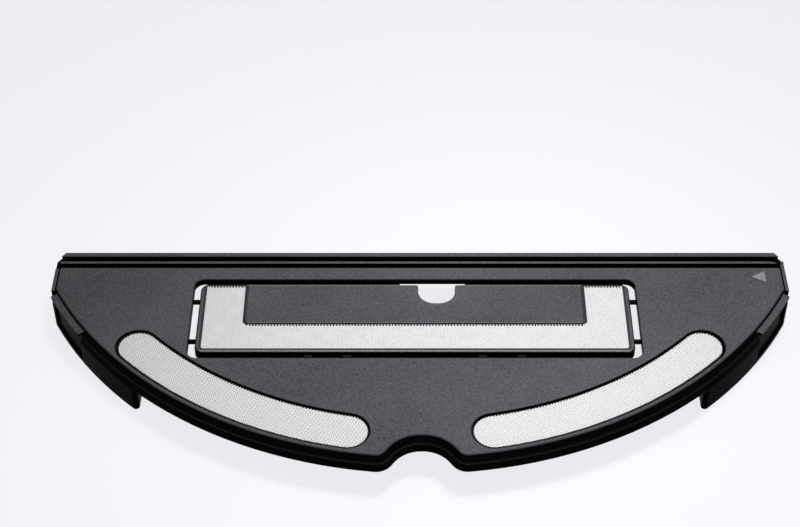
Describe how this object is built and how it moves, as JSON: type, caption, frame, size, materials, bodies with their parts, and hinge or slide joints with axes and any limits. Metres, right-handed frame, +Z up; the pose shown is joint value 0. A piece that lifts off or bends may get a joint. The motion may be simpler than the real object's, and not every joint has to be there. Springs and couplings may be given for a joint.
{
  "type": "robot vacuum mopping plate",
  "caption": "D-shaped black plate with a vibrating inner plate, white hook strips for a mop cloth, a front cloth slot and sprung corner clips that latch under a robot vacuum.",
  "frame": {"origin": "under the middle of the plate's outline, in the plane of the two tower tops that it rests on", "axes": "+Z up out of the mopping face, +Y towards the straight front edge, +X to the right as the mopping face is seen with the curved rear edge nearest"},
  "size_m": [0.303, 0.1124, 0.0188],
  "materials": {
    "black_abs_textured": "fine spark-eroded texture",
    "black_acetal": "smooth moulded",
    "white_hook_tape": "knitted hook tape",
    "white_label_film": "satin film, no print",
    "spring_steel": "rolled strip",
    "blackened_steel": "blackened rod"
  },
  "bodies": {
    "bracket": {"mop_side_plate": "black_abs_textured", "robot_side_cover": "black_abs_textured", "left_front_guide_pin": "blackened_steel", "left_rear_guide_pin": "blackened_steel", "right_front_guide_pin": "blackened_steel", "right_rear_guide_pin": "blackened_steel", "left_hook_strip": "white_hook_tape", "right_hook_strip": "white_hook_tape", "bare_label": "white_label_film", "left_clip_spring": "spring_steel", "right_clip_spring": "spring_steel"},
    "scrubber": {"vibrating_plate": "black_abs_textured", "u_hook_strip": "white_hook_tape", "drive_cradle": "black_acetal"},
    "left_clip": {"left_press_clip": "black_abs_textured"},
    "right_clip": {"right_press_clip": "black_abs_textured"}
  },
  "joints": [
    {"name": "scrub_slide", "type": "slide", "parent": "bracket", "child": "scrubber", "axis": [1, 0, 0], "range_m": [-0.002, 0.002]},
    {"name": "left_clip_press", "type": "slide", "parent": "bracket", "child": "left_clip", "axis": [0.833, 0.5532, 0], "range_m": [0, 0.002], "stiffness_N_per_m": 1500, "springref_m": -0.001, "deforming": ["left_clip_spring"]},
    {"name": "right_clip_press", "type": "slide", "parent": "bracket", "child": "right_clip", "axis": [-0.833, 0.5532, 0], "range_m": [0, 0.002], "stiffness_N_per_m": 1500, "springref_m": -0.001, "deforming": ["right_clip_spring"]}
  ]
}
